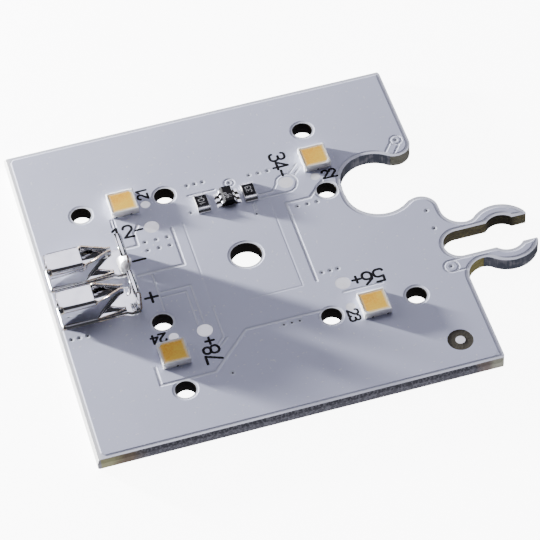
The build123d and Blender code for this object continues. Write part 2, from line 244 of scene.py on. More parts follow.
def plan_rings(node, height):
    """The closed edges of a CAD node's flat faces at one height, as rings of plan points in millimetres."""
    shape = bmesh.new()
    shape.from_mesh(nodes[node].data)
    bmesh.ops.remove_doubles(shape, verts=shape.verts, dist=1e-7)
    level = {f for f in shape.faces if all(abs(v.co.z / mm - height) < 2e-4 for v in f.verts)}
    rim = {e for e in shape.edges if sum(f in level for f in e.link_faces) == 1}
    rings = []
    while rim:
        ring = list(rim.pop().verts)
        while ring[-1] is not ring[0]:
            onward = next(e for e in ring[-1].link_edges if e in rim)
            rim.remove(onward)
            ring.append(onward.other_vert(ring[-1]))
        rings.append(np.array([v.co.xy for v in ring[:-1]]) / mm)
    shape.free()
    return rings


def reach(points, path, closed=False):
    """How far each point is from a path."""
    path = np.asarray(path, float)
    ends = np.roll(path, -1, axis=0) if closed else path[1:]
    starts = path if closed else path[:-1]
    nearest = np.full(len(points), np.inf)
    for start, end in zip(starts, ends):
        run = end - start
        share = ((points - start) @ run / (run @ run)).clip(0, 1)
        nearest = np.minimum(nearest, np.hypot(*(points - start - share[:, None] * run).T))
    return nearest


def inside(points, ring):
    """Whether each point lies inside a ring."""
    x, y = points.T
    crossed = np.zeros(len(points), bool)
    for (x0, y0), (x1, y1) in zip(ring, np.roll(ring, -1, axis=0)):
        if y0 != y1:
            crossed ^= ((y0 > y) != (y1 > y)) & (x < x0 + (y - y0) / (y1 - y0) * (x1 - x0))
    return crossed


def arc(centre, radius, first=0, last=360, count=25):
    """Points along an arc, with its angles in degrees."""
    angles = np.radians(np.linspace(first, last, count))
    return np.column_stack([centre[0] + radius * np.cos(angles), centre[1] + radius * np.sin(angles)])


def finer(ring, step=0.9):
    """A ring with more points along its long edges."""
    points = []
    for start, end in zip(ring, np.roll(ring, -1, axis=0)):
        count = max(1, round(np.hypot(*(end - start)) / step))
        points += [start + (end - start) * i / count for i in range(count)]
    return np.array(points)


def moved(ring, offset):
    """A ring moved to its left by an offset, without the points that come too near to it."""
    ring = finer(ring)
    along = np.roll(ring, -1, axis=0) - np.roll(ring, 1, axis=0)
    left = np.column_stack([-along[:, 1], along[:, 0]]) / np.hypot(*along.T)[:, None]
    points = ring + left * offset
    return points[reach(points, ring, closed=True) > abs(offset) * 0.97]


def turns_left(ring):
    """Whether a ring runs anticlockwise."""
    x, y = ring.T
    return x @ np.roll(y, -1) > y @ np.roll(x, -1)


def capsule(start, end, radius):
    """The outline of a straight run with round ends."""
    heading = np.degrees(np.arctan2(end[1] - start[1], end[0] - start[0]))
    tips = arc(end, radius, heading - 90, heading + 90, 5), arc(start, radius, heading + 90, heading + 270, 5)
    return np.concatenate(tips)


# Gaps in the copper are paths in plan. A ring via has a round gap about it, of the radius given.
ring_vias = {(1.2, 12.25): 0.62, (23.67, 12.75): 0.74, (23.67, -9.67): 0.92}
wide_gaps = [
    [(7.15, -6.75), (7.15, 6.7), (10.3, 6.7), (12.6, 8.95)],
    [(-13.7, 0.85), (-7.75, 0.85), (-7.75, 7.1)],
    [(6.2, -11.5), (-3.3, -11.5), (-8.5, -16.68), (-15.35, -16.68), (-15.35, -13.9)],
    [(-15.2, 5.62), (-12.5, 5.62), (-12.5, 7.8), (-11.7, 8.9)],
]
supply_loop = [(4.3, 9.15), (6.1, 9.15), (6.95, 10.3), *arc((8.2, 10.1), 1.35, 170, -30, 13)]
supply_loop += [(9.0, 8.8), (8.4, 8.45), (4.25, 8.45)]
fine_gaps = [
    supply_loop,
    [(9.1, 11.6), (10.3, 12.8)],
    [(9.6, 11.1), (10.7, 12.2)],
    [(-11.7, -2.63), (-7.88, -2.63), (-7.88, -8.9)],
    [(-11.7, -3.42), (-8.67, -3.42), (-8.67, -8.9)],
    [(-12.0, 0.5), (-12.0, -5.5)],
    [(-6.18, -7.0), (-6.18, -11.7), (-7.6, -13.2)],
    [(-5.8, -12.0), (-7.2, -13.3)],
    [(-14.8, 10.6), (-14.8, 9.4)],
    [(-14.45, 10.6), (-14.45, 9.4)],
    [(-4.4, 11.7), (-0.9, 11.7)],
    [(3.05, 7.9), (3.05, 6.7)],
    [(3.4, 7.9), (3.4, 6.7)],
    [(9.8, -9.5), (14.8, -9.5)],
    [(22.98, 12.74), (21.73, 11.09)],
    [(23.92, 12.06), (22.67, 10.41)],
    [(23.9, -8.76), (26.2, -8.76)],
    [(23.9, -10.55), (26.0, -10.55)],
]
faint_gaps = [[(-6.18, 7.4), (-6.18, -7.0)], [(-1.5, -7.0), (5.3, -7.0), (5.3, 7.6)]]
fine_gaps += [arc(centre, radius, count=19) for centre, radius in ring_vias.items()]
via_radius = 0.42
vias = [(x, 13.42) for x in (-4.05, -3.05, -2.02)] + [(x, 12.7) for x in (3.98, 5.21, 6.45)]
vias += [(x, 5.72) for x in (8.41, 9.69, 10.97)] + [(x, -5.71) for x in (8.14, 9.19, 10.2)]
vias += [(x, y) for x in (-11.53, -10.06, -8.64) for y in (5.86, 4.44)]
vias += [(x, -12.2) for x in (1.32, 2.33, 3.34)] + [(x, -6.58) for x in (-24.0, -23.0, -21.95)]
vias += [(-4.75, 8.82), (-6.65, -17.46), (23.64, 0.0), (23.64, -3.1), (3.14, 6.1)] + list(ring_vias)

outline, *holes = sorted(plan_rings("circuit_board", board_top), key=np.ptp, reverse=True)
openings = [ring for name in named("_pad_", "solder") for ring in plan_rings(name, board_top)]
fiducial_low, fiducial_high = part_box("fiducial_dot")
fiducial_centre = (fiducial_low.xy + fiducial_high.xy) / 2 / mm
openings.append(arc(fiducial_centre, fiducial_window, count=49)[:-1])
openings += [arc(via, via_radius, count=17)[:-1] for via in vias]
# The mask is off beside the driver's leads too, so dark laminate shows between them.
leads_low, leads_high = (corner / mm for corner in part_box("driver_solder"))
body_low, body_high = (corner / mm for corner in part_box("driver_body"))
left_row = leads_low.x, body_low.x + window_under_driver
right_row = leads_high.x, body_high.x - window_under_driver
for outer, inner in (left_row, right_row):
    front, back = leads_low.y, leads_high.y
    openings.append(np.array([(outer, front), (inner, front), (inner, back), (outer, back)]))
openings += [moved(hole, hole_clearance * (-1 if turns_left(hole) else 1)) for hole in holes]
breaks = [outline, *holes, *openings]
for ring, pullback in [(outline, edge_pullback)] + [(hole, hole_pullback) for hole in holes]:
    inward = 1 if turns_left(ring) == (ring is outline) else -1
    breaks += [moved(ring, inward * (pullback + slope * share)) for share in slope_shares]
for half, gaps in ((gap_half, wide_gaps), (fine_gap_half, fine_gaps + faint_gaps)):
    for gap in gaps:
        for start, end in zip(gap, gap[1:]):
            breaks += [capsule(start, end, half + slope * share) for share in slope_shares]


def mask_height(points):
    """How high the coat stands over the laminate at plan points."""
    clear = np.minimum.reduce(
        [reach(points, outline, closed=True) - edge_pullback]
        + [reach(points, hole, closed=True) - hole_pullback for hole in holes]
        + [reach(points, gap) - gap_half for gap in wide_gaps]
        + [reach(points, gap) - fine_gap_half for gap in fine_gaps]
    )
    faint = np.minimum.reduce([reach(points, gap) - fine_gap_half for gap in faint_gaps])
    faint = 1 - faint_depth + faint_depth * (faint / slope).clip(0, 1)
    share = np.minimum((clear / slope).clip(0, 1), faint)
    return over_laminate + (over_copper - over_laminate) * share * share * (3 - 2 * share)


def triangulated(rings):
    """Plan points and triangles that hold every edge of the rings."""
    links = []
    count = 0
    for ring in rings:
        links += [(count + i, count + (i + 1) % len(ring)) for i in range(len(ring))]
        count += len(ring)
    points = [Vector(point) for point in np.concatenate(rings)]
    spots, _, triangles, *_ = delaunay_2d_cdt(points, links, [], 1, 1e-4, False)
    return np.array([tuple(spot) for spot in spots]), np.array(triangles)


def face_up(mesh, foot=None):
    """Clears a mesh of loose points and turns its faces up. If a foot is given, walls go down to it from the
    open edges."""
    shape = bmesh.new()
    shape.from_mesh(mesh)
    bmesh.ops.delete(shape, geom=[v for v in shape.verts if not v.link_faces], context="VERTS")
    if foot is not None:
        rim = [e for e in shape.edges if e.is_boundary]
        for made in bmesh.ops.extrude_edge_only(shape, edges=rim)["geom"]:
            if isinstance(made, bmesh.types.BMVert):
                made.co.z = foot
    bmesh.ops.recalc_face_normals(shape, faces=shape.faces)
    if sum(f.normal.z * f.calc_area() for f in shape.faces) < 0:
        bmesh.ops.reverse_faces(shape, faces=shape.faces)
    shape.to_mesh(mesh)
    shape.free()


def add_piece(name, mesh, *finishes):
    """Puts a mesh into the scene, with its materials unless it brings them."""
    piece = bpy.data.objects.new(name, mesh)
    bpy.context.collection.objects.link(piece)
    if not any(mesh.materials):
        for finish in finishes:
            mesh.materials.append(finish.material)
    return piece


plan, triangles = triangulated(breaks)
middles = plan[triangles].mean(axis=1)
covered = inside(middles, outline)
for ring in holes + openings:
    covered &= ~inside(middles, ring)
heights = mask_height(plan)
mask_mesh = bpy.data.meshes.new("solder_mask")
mask_mesh.from_pydata(np.column_stack([plan, board_top + heights]) * mm, [], triangles[covered].tolist())
thinness = (over_copper - heights) / (over_copper - over_laminate)
mask_mesh.attributes.new("thinness", "FLOAT", "POINT").data.foreach_set("value", thinness)
face_up(mask_mesh, board_top * mm)
mask = Finish("solder_mask", {"Specular IOR Level": 0.4})
thin = mask.node("ShaderNodeAttribute", {"attribute_name": "thinness"}, output=2)
cloud = mask.noise(0.12, detail=3.0).band(0.3, 0.7)
peel = mask.noise(0.7, detail=1.0)
tone = mask.mix(cloud, (0.577, 0.6, 0.752), (0.607, 0.63, 0.782))
specks = mask.noise(2.6, detail=0.0).band(0.77, 0.82)
tone = mask.mix(specks * 0.5, tone, (0.9, 0.9, 0.92))
tone = mask.mix(thin, tone, (0.75, 0.77, 0.87))
# Painted highlight: along the board's left edge, which faces the lamp, the coat is coloured lighter.
painted_light_left_margin = (mask.place()[0] * -1).band(24.5, 25.0)
mask.colour(mask.mix(painted_light_left_margin, tone, (0.92, 0.92, 0.95)))
mask.roughness(cloud * 0.08 + 0.4)
mask.bump((1 - thin) * 0.015 + peel * 0.003 + mask.noise(6.0) * 0.0002 + specks * 0.006, 1.0)
solder_mask = add_piece("solder_mask", mask_mesh, mask)
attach(solder_mask, "root")


# Tented vias. Each is a small drilled and plated hole that the coat runs over and sinks into, so it shows as
# a dimple with a soft rim; its middle is painted dark as shade in the hole. They are all one shape, set at
# random turns.
class Pattern(Nodes):
    """A geometry tree that turns a piece's guide mesh into its finished mesh."""

    def __init__(self, name, sizes):
        self.tree = bpy.data.node_groups.new(name, "GeometryNodeTree")
        self.tree.interface.new_socket("Geometry", in_out="INPUT", socket_type="NodeSocketGeometry")
        self.tree.interface.new_socket("Geometry", in_out="OUTPUT", socket_type="NodeSocketGeometry")
        for size in sizes:
            self.tree.interface.new_socket(size, in_out="INPUT", socket_type="NodeSocketFloat")
        self.sizes = sizes
        inlet = self.tree.nodes.new("NodeGroupInput")
        self.guide, *sockets = [Value(self, socket) for socket in inlet.outputs[: len(sizes) + 1]]
        self.size = dict(zip(sizes, sockets))

    def end(self, geometry, finish):
        """Realizes the instances, sets the material and ends the tree."""
        geometry = self.node("GeometryNodeRealizeInstances", values={"Geometry": geometry})
        values = {"Geometry": geometry, "Material": finish.material}
        geometry = self.node("GeometryNodeSetMaterial", values=values)
        self.feed(self.tree.nodes.new("NodeGroupOutput"), {0: geometry})

    def mesh(self, name, guide):
        """Runs the tree on a guide of points and edges in millimetres, and gives a plain mesh."""
        points, edges, corners = guide
        drawn = bpy.data.meshes.new(name + "_guide")
        drawn.from_pydata(np.asarray(points) * mm, edges, [])
        drawn.attributes.new("corner", "FLOAT", "POINT").data.foreach_set("value", corners)
        carrier = bpy.data.objects.new(name + "_guide", drawn)
        bpy.context.collection.objects.link(carrier)
        modifier = carrier.modifiers.new("pattern", "NODES")
        modifier.node_group = self.tree
        for item in self.tree.interface.items_tree:
            if item.name in self.sizes:
                modifier[item.identifier] = self.sizes[item.name]
        evaluated = carrier.evaluated_get(bpy.context.evaluated_depsgraph_get())
        result = bpy.data.meshes.new_from_object(evaluated)
        bpy.data.objects.remove(carrier)
        return result


via_depth = 0.05
via_rim = 0.014
dimple = Pattern("via_dimple", {"Radius": via_radius * mm, "Depth": via_depth * mm, "Rim": via_rim * mm})
size = dimple.size
cone = dimple.node(
    "GeometryNodeMeshCone",
    {"fill_type": "NONE"},
    {"Vertices": 16, "Side Segments": 7, "Radius Top": 0.0, "Radius Bottom": size["Radius"], "Depth": 0.0},
)
spot = dimple.node("GeometryNodeInputPosition")
out = dimple.node("ShaderNodeVectorMath", {"operation": "LENGTH"}, {0: spot}, output="Value") / size["Radius"]
lift = (out * pi).maths("SINE", out * pi) * size["Rim"] - (1 - out.band(0.45, 0.95)) * size["Depth"]
offset = dimple.node("ShaderNodeCombineXYZ", values={"Z": lift})
cone = dimple.node("GeometryNodeSetPosition", values={"Geometry": cone, "Offset": offset})
via_hole_shade = {"Geometry": cone, "Name": "via_hole_shade", "Value": 1 - out.band(0.28, 0.5)}
cone = dimple.node("GeometryNodeStoreNamedAttribute", {"data_type": "FLOAT", "domain": "POINT"}, via_hole_shade)
cone = dimple.node("GeometryNodeSetShadeSmooth", values={"Geometry": cone})
full_turn = {"Max": 2 * pi, "Seed": 7}
turn = dimple.node("FunctionNodeRandomValue", {"data_type": "FLOAT"}, full_turn, output="Value")
turn = dimple.node("ShaderNodeCombineXYZ", values={"Z": turn})
centres = dimple.node("GeometryNodeMeshToPoints", values={"Mesh": dimple.guide})
spread = {"Points": centres, "Instance": cone, "Rotation": turn}
tent = Finish("tented_via", {"Roughness": 0.35, "Specular IOR Level": 0.4})
# Painted shade: the dimple's middle is coloured dark.
painted_via_shade = tent.node("ShaderNodeAttribute", {"attribute_name": "via_hole_shade"}, output=2)
painted_via_shade = (painted_via_shade + tent.noise(5.0) * 0.3 - 0.15).band(0.3, 0.9)
tent.colour(tent.mix(painted_via_shade, (0.62, 0.65, 0.76), (0.03, 0.03, 0.035)))
dimple.end(dimple.node("GeometryNodeInstanceOnPoints", values=spread), tent)
spots = np.column_stack([np.array(vias), board_top + mask_height(np.array(vias) + (via_radius, 0))])
tented_vias = add_piece("tented_vias", dimple.mesh("tented_vias", (spots, [], [0.0] * len(spots))), tent)
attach(tented_vias, "root")

# Legend. Black ink, screen printed on the cured mask with a round-ended stroke. Plain numbers stand beside
# the test pads and the sensor pads, and a sign tells the pole of each wire terminal.
legend_stroke = 0.34
legend_height = 1.93
small_stroke = 0.3
small_height = 1.3
ink_thickness = 0.012
# A character's paths hold points as shares of its height, with a radius where a corner is rounded.
strokes = {
    "1": [[(0.08, 0.76), (0.36, 1), (0.36, 0)]],
    "2": [[(0.02, 0.76), (0.02, 1, 0.24), (0.6, 1, 0.24), (0.6, 0.62, 0.2), (0, 0), (0.64, 0)]],
    "3": [[(0.02, 0.82), (0.02, 1, 0.2), (0.58, 1, 0.22), (0.58, 0.55, 0.22), (0.24, 0.55)],
          [(0.24, 0.55), (0.62, 0.55, 0.26), (0.62, 0, 0.26), (0, 0, 0.22), (0, 0.18)]],
    "4": [[(0.46, 0), (0.46, 1), (0, 0.28), (0.66, 0.28)]],
    "5": [[(0.56, 1), (0.06, 1), (0.04, 0.58), (0.62, 0.66, 0.28), (0.62, 0, 0.28), (0, 0, 0.22), (0, 0.14)]],
    "6": [[(0.5, 1), (0.02, 0.62, 0.2), (0.02, 0, 0.28), (0.62, 0, 0.28),
           (0.62, 0.6, 0.28), (0.04, 0.6, 0.2), (0.02, 0.4)]],
    "7": [[(0, 1), (0.62, 1), (0.22, 0)]],
    "8": [[(0.3, 0.54), (0.04, 0.54, 0.2), (0.04, 1, 0.22), (0.56, 1, 0.22), (0.56, 0.54, 0.2), (0.3, 0.54)],
          [(0.3, 0.54), (0, 0.54, 0.24), (0, 0, 0.26), (0.6, 0, 0.26), (0.6, 0.54, 0.24), (0.3, 0.54)]],
    "0": [[(0.3, 1), (0, 1, 0.28), (0, 0, 0.28), (0.6, 0, 0.28), (0.6, 1, 0.28), (0.3, 1)]],
    "-": [[(0.04, 0.42), (0.5, 0.42)]],
    "+": [[(0, 0.42), (0.54, 0.42)], [(0.27, 0.15), (0.27, 0.69)]],
}


def written(text, start, angle, height, base, pitch=0.76):
    """Characters as guide points, edges and corner radii, from a start, along an angle."""
    along = np.array([cos(radians(angle)), sin(radians(angle))])
    up = np.array([-along[1], along[0]])
    points, edges, corners = [], [], []
    for place, character in enumerate(text):
        for path in strokes[character]:
            edges += [(len(points) + i, len(points) + i + 1) for i in range(len(path) - 1)]
            for across, rise, *corner in path:
                spot = np.array(start) + along * (across + place * pitch) * height + up * rise * height
                points.append((*spot, base))
                corners.append(corner[0] * height * mm if corner else 0.0)
    return points, edges, corners


def joined(guides):
    """Several guides as one."""
    points, edges, corners = [], [], []
    for more_points, more_edges, more_corners in guides:
        edges += [(a + len(points), b + len(points)) for a, b in more_edges]
        points += more_points
        corners += more_corners
    return points, edges, corners


def print_pattern(name, stroke, thickness, finish):
    """The tree that lays a domed ink stroke with round ends and corners along a guide."""
    pattern = Pattern(name, {"Stroke": stroke * mm, "Thickness": thickness * mm})
    half = pattern.size["Stroke"] * 0.5
    rise = pattern.size["Thickness"]
    line = pattern.node("GeometryNodeMeshToCurve", values={"Mesh": pattern.guide})
    corner = pattern.node("GeometryNodeInputNamedAttribute", {"data_type": "FLOAT"}, {"Name": "corner"})
    fillet = {"Curve": line, "Count": 7, "Radius": corner, "Limit Radius": True}
    line = pattern.node("GeometryNodeFilletCurve", {"mode": "POLY"}, fillet)
    evened = {"Curve": line, "Length": half * 0.5}
    line = pattern.node("GeometryNodeResampleCurve", {"mode": "LENGTH"}, evened)
    line = pattern.node("GeometryNodeSetCurveNormal", {"mode": "Z_UP"}, {"Curve": line})
    ring = pattern.node("GeometryNodeCurvePrimitiveCircle", values={"Resolution": 14, "Radius": 1.0})
    section = pattern.node("ShaderNodeCombineXYZ", values={"X": half, "Y": rise, "Z": 1.0})
    ring = pattern.node("GeometryNodeTransform", values={"Geometry": ring, "Scale": section})
    swept = {"Curve": line, "Profile Curve": ring, "Fill Caps": True}
    bead = pattern.node("GeometryNodeCurveToMesh", values=swept)
    ball = pattern.node("GeometryNodeMeshUVSphere", values={"Segments": 14, "Rings": 8, "Radius": 1.0})
    flat = pattern.node("ShaderNodeCombineXYZ", values={"X": half, "Y": half, "Z": rise})
    ball = pattern.node("GeometryNodeTransform", values={"Geometry": ball, "Scale": flat})
    tips = {"Points": pattern.guide, "Selection": corner < 1e-6, "Instance": ball}
    tips = pattern.node("GeometryNodeInstanceOnPoints", values=tips)
    both = pattern.node("GeometryNodeJoinGeometry", values={"Geometry": bead})
    pattern.tree.links.new(tips.socket, both.socket.node.inputs[0])
    pattern.end(both, finish)
    return pattern


ink = Finish("legend_ink", {"Specular IOR Level": 0.12})
ink_wear = ink.noise(5.0, detail=4.0)
ink.colour(ink.mix(ink_wear.band(0.55, 0.8), (0.006, 0.006, 0.008), (0.03, 0.03, 0.033)))
ink.roughness(ink_wear * 0.3 + 0.5)
ink.bump(ink_wear, 0.004)
mask_top = board_top + over_copper
minus_sign = [(-13.72, 3.28, mask_top), (-12.15, 3.28, mask_top)]
plus_sign = [(-13.8, -3.05, mask_top), (-12.2, -3.05, mask_top)]
plus_sign += [(-13.0, -3.85, mask_top), (-13.0, -2.25, mask_top)]
large = [
    written("12-", (-15.2, 7.33), 0, legend_height, mask_top),
    written("34-", (7.3, 15.25), -90, legend_height, mask_top),
    written("56+", (15.3, -7.3), 180, legend_height, mask_top),
    written("78+", (-7.2, -15.3), 90, legend_height, mask_top),
    (minus_sign, [(0, 1)], [0.0] * 2),
    (plus_sign, [(0, 1), (2, 3)], [0.0] * 4),
]
small = [
    written("21", (-9.25, 12.95), 90, small_height, mask_top),
    written("22", (12.9, 9.2), 0, small_height, mask_top),
    written("23", (9.25, -12.5), -90, small_height, mask_top),
    written("24", (-12.9, -9.0), 180, small_height, mask_top),
]
for name, guides, stroke in (("legend_large", large, legend_stroke), ("legend_small", small, small_stroke)):
    printed = print_pattern(name, stroke, ink_thickness, ink).mesh(name, joined(guides))
    spots = np.array([vertex.co for vertex in printed.vertices])
    spots[:, 2] += (mask_height(spots[:, :2] / mm) - over_copper) * mm
    printed.vertices.foreach_set("co", spots.ravel())
    legend = add_piece(name, printed, ink)
    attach(legend, "root")

# Bare pads. Copper discs with an immersion silver coat, for the test probes, the temperature sensors and the
# placing machine's camera. Probe touches and handling leave the silver slightly matt.
silver = Finish("bare_silver", {"Metallic": 1.0})
grain = silver.noise(9.0, detail=3.0)
silver.colour(silver.mix(silver.noise(0.9).band(0.4, 0.6), (0.8, 0.8, 0.8), (0.76, 0.755, 0.74)))
silver.roughness(grain * 0.2 + 0.38)
silver.bump(grain, 0.004)
dress(silver, "_pad_", "fiducial_dot")

# Edge plating. Copper with a dark nickel finish, plated on the routed walls of the notch and of the fork,
# where one module's poles press on the next one's. The cutter's upright marks still show in it.
plating = Finish("edge_plating", {"Metallic": 1.0})
cutter = plating.noise(5.0, (1, 1, 0.06), detail=3.0)
worn = cutter * 0.4 + plating.noise(0.8, detail=3.0) * 0.6
plating.colour(plating.mix(worn.band(0.45, 0.62), (0.1, 0.11, 0.13), (0.27, 0.27, 0.28)))
plating.roughness(cutter * 0.3 + 0.28)
plating.bump(cutter + plating.noise(3.0) * 0.4, 0.008)
dress(plating, "plating")

# Light packages. Each is a white epoxy moulding round two silver-plated frame halves, filled with silicone
# that carries the phosphor, and soldered down on its frame. The phosphor is oranger towards the back left and
# yellower towards the front right, the same way on every package, and pales at the edge of its well. The
# packages are turned a quarter from one to the next.
led_pitch = 25.4
well_pales_from, well_pales_to = 1.25, 1.68
moulding_round = 0.05
milky = {"Subsurface Weight": 1.0, "Subsurface Scale": 0.6 * mm, "Subsurface Radius": (1.0, 1.0, 1.0)}
moulding = Finish("led_moulding", {"Specular IOR Level": 0.45, **milky})
grain = moulding.noise(11.0, detail=3.0)
moulding.colour(moulding.mix(moulding.noise(1.1).band(0.4, 0.65), (0.96, 0.96, 0.96), (0.92, 0.92, 0.91)))
moulding.roughness(grain * 0.25 + 0.3)
moulding.bump(grain, 0.004)
phosphor = Finish("phosphor", {"Specular IOR Level": 0.12})
x, y, _ = phosphor.place()
border = abs(abs(x) - led_pitch / 2) | abs(abs(y) - led_pitch / 2)
grain = phosphor.noise(5.0, detail=3.0)
along_x = x.maths("FLOORED_MODULO", x + led_pitch, led_pitch) - led_pitch / 2
along_y = y.maths("FLOORED_MODULO", y + led_pitch, led_pitch) - led_pitch / 2
# Oranger towards the back left of each package and yellower towards the front right, the same way on all
# four.
diagonal_drift = ((along_x - along_y) * 0.18 + phosphor.noise(0.9, detail=2.0)).band(0.2, 0.85)
tone = phosphor.mix(grain.band(0.4, 0.62), (0.93, 0.45, 0.03), (1.0, 0.56, 0.06))
tone = phosphor.mix(diagonal_drift * 0.6, tone, (1.0, 0.68, 0.08))
border = (border + grain * 0.16).band(well_pales_from, well_pales_to)
phosphor.colour(phosphor.mix(border * 0.8, tone, (1.0, 0.88, 0.64)))
phosphor.roughness(grain * 0.25 + 0.35)
phosphor.bump(grain + diagonal_drift * 2.0, 0.004)
frame_silver = Finish("led_frame", {"Metallic": 1.0})
rolled = frame_silver.noise(8.0, detail=3.0)
frame_silver.colour(frame_silver.mix(rolled.band(0.4, 0.6), (0.3, 0.3, 0.3), (0.12, 0.12, 0.12)))
frame_silver.roughness(rolled * 0.3 + 0.2)
frame_silver.bump(rolled, 0.004)
dress(phosphor, "led_phosphor")
dress(frame_silver, "led_frame")


def softened(node, rounding, sharp=35, sheet=None):
    """A copy of a CAD node with its flat faces joined, its sharp edges rounded and its bends smooth. Faces as
    narrow as the sheet is thick take the second material."""
    shape = bmesh.new()
    shape.from_mesh(nodes[node].data)
    bmesh.ops.remove_doubles(shape, verts=shape.verts, dist=1e-7)
    bmesh.ops.dissolve_limit(shape, angle_limit=radians(0.5), verts=shape.verts, edges=shape.edges)
    for face in shape.faces:
        half = face.calc_perimeter() / 2 / mm
        width = (half - max(half * half - 4 * face.calc_area() / mm**2, 0) ** 0.5) / 2
        face.material_index = int(bool(sheet) and abs(width - sheet) < 0.05)
    edges = [e for e in shape.edges if e.calc_face_angle(0) > radians(sharp)]
    bmesh.ops.bevel(
        shape, geom=edges, offset=rounding * mm, offset_type="OFFSET", segments=2, profile=0.5,
        affect="EDGES", clamp_overlap=False,
    )
    bmesh.ops.triangulate(shape, faces=shape.faces)
    mesh = bpy.data.meshes.new(node)
    shape.to_mesh(mesh)
    shape.free()
    mesh.shade_smooth()
    mesh.set_sharp_from_angle(angle=radians(sharp))
    return mesh


for name in named("led_body"):
    piece = add_piece(name + "_moulded", softened(name, moulding_round), moulding)
    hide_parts(name)
    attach(piece, "root")

# Solder. Tin alloy that wetted the pads and froze in smooth, slightly rippled fillets. Round each terminal's
# floor it climbs in a thin skirt.
solder = Finish("solder", {"Metallic": 1.0})
ripple = solder.noise(0.9, detail=2.0)
solder.colour(solder.mix(solder.noise(3.0).band(0.4, 0.7), (0.8, 0.8, 0.81), (0.68, 0.68, 0.69)))
solder.roughness(ripple * 0.2 + 0.1)
solder.bump(ripple, 0.012)
dress(solder, "solder")
climb_width = 0.42
climb_height = 0.235
climb_shares = (0.25, 0.45, 0.65, 0.83, 1.0)
for name in ("terminal_minus_solder", "terminal_plus_solder"):
    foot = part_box(name)[1].z / mm
    ring = max(plan_rings(name, foot), key=np.ptp)
    inward = 1 if turns_left(ring) else -1
    steps = [finer(ring, 0.3)]
    steps += [moved(steps[0], climb_width * share * inward) for share in climb_shares]
    plan, triangles = triangulated(steps)
    climb = (reach(plan, ring, closed=True) / climb_width).clip(0, 1)
    heights = foot + climb_height * climb**5
    kept = inside(plan[triangles].mean(axis=1), ring) & (climb[triangles].min(axis=1) < 0.98)
    skirt_mesh = bpy.data.meshes.new(name + "_skirt")
    skirt_mesh.from_pydata(np.column_stack([plan, heights]) * mm, [], triangles[kept].tolist())
    face_up(skirt_mesh)
    skirt_mesh.shade_smooth()
    skirt = add_piece(name + "_skirt", skirt_mesh, solder)
    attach(skirt, "root")

# Chip resistors. A white ceramic block with a film under black glaze, and a tinned cap wrapped round each
# end. The glaze carries small plain numbers.
cap_round = 0.09
figure_height = 0.72
figure_pitch = 0.8
figure_stroke = 0.1
chip_ink_thickness = 0.006
ceramic = Finish("ceramic", {"Specular IOR Level": 0.3})
grain = ceramic.noise(16.0, detail=3.0)
ceramic.colour(ceramic.mix(grain.band(0.4, 0.65), (0.8, 0.79, 0.76), (0.7, 0.69, 0.66)))
ceramic.roughness(grain * 0.3 + 0.45)
ceramic.bump(grain, 0.006)
glaze = Finish("black_glaze", {"Specular IOR Level": 0.06})
flow = glaze.noise(2.5, detail=3.0)
glaze.colour(glaze.mix(flow.band(0.4, 0.7), (0.006, 0.006, 0.008), (0.014, 0.014, 0.017)))
glaze.roughness(flow * 0.25 + 0.3)
glaze.bump(flow + glaze.noise(14.0) * 0.08, 0.012)
cap = Finish("cap_tin", {"Metallic": 1.0})
wetted = cap.noise(3.5, detail=4.0)
cap.colour(cap.mix(wetted.band(0.45, 0.7), (0.8, 0.8, 0.81), (0.6, 0.6, 0.62)))
cap.roughness(wetted * 0.3 + 0.12)
cap.bump(wetted, 0.03)
dress(ceramic, "_core")
dress(glaze, "_coat")
for name in named("_cap_"):
    piece = add_piece(name + "_rounded", softened(name, cap_round), cap)
    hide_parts(name)
    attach(piece, "root")
chip_ink = Finish("chip_ink", {"Specular IOR Level": 0.2, "Roughness": 0.7})
worn = chip_ink.noise(14.0, detail=3.0)
chip_ink.colour(chip_ink.mix(worn.band(0.4, 0.65), (0.4, 0.4, 0.41), (0.12, 0.12, 0.125)))
chip_ink.bump(worn, 0.003)
for part, number, half_run in (("resistor_1", "104", 0.60078), ("resistor_2", "33", 0.38874)):
    name = part + "_figures"
    low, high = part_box(part + "_coat")
    middle = (low + high) / 2 / mm
    start = (middle.x + figure_height / 2, middle.y - half_run)
    guide = written(number, start, 90, figure_height, high.z / mm, figure_pitch)
    pattern = print_pattern(name, figure_stroke, chip_ink_thickness, chip_ink)
    figures = add_piece(name, pattern.mesh(name, guide), chip_ink)
    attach(figures, "root")

# Driver chip. A black epoxy body, pressed round a tinned lead frame with three gull-wing leads on each side.
# Its face carries small plain numbers too.
driver_figure_height = 0.42
driver_figure_pitch = 0.85
driver_figure_stroke = 0.07
epoxy = Finish("driver_moulding", {"Specular IOR Level": 0.06})
grain = epoxy.noise(13.0, detail=4.0)
epoxy.colour(epoxy.mix(grain.band(0.45, 0.7), (0.008, 0.008, 0.009), (0.022, 0.022, 0.024)))
epoxy.roughness(grain * 0.3 + 0.35)
epoxy.bump(grain, 0.008)
dress(epoxy, "driver_body")
lead_tin = Finish("lead_tin", {"Metallic": 1.0})
grain = lead_tin.noise(10.0, detail=3.0)
lead_tin.colour(lead_tin.mix(grain.band(0.45, 0.7), (0.82, 0.82, 0.83), (0.66, 0.66, 0.67)))
lead_tin.roughness(grain * 0.2 + 0.06)
lead_tin.bump(grain, 0.003)
dress(lead_tin, "driver_lead")
rows = [
    written(number, start, 90, driver_figure_height, body_high.z, driver_figure_pitch)
    for number, start in (("75", (0.72, 8.95)), ("208", (0.2, 8.95)))
]
pattern = print_pattern("driver_figures", driver_figure_stroke, chip_ink_thickness, chip_ink)
figures = add_piece("driver_figures", pattern.mesh("driver_figures", joined(rows)), chip_ink)
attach(figures, "root")

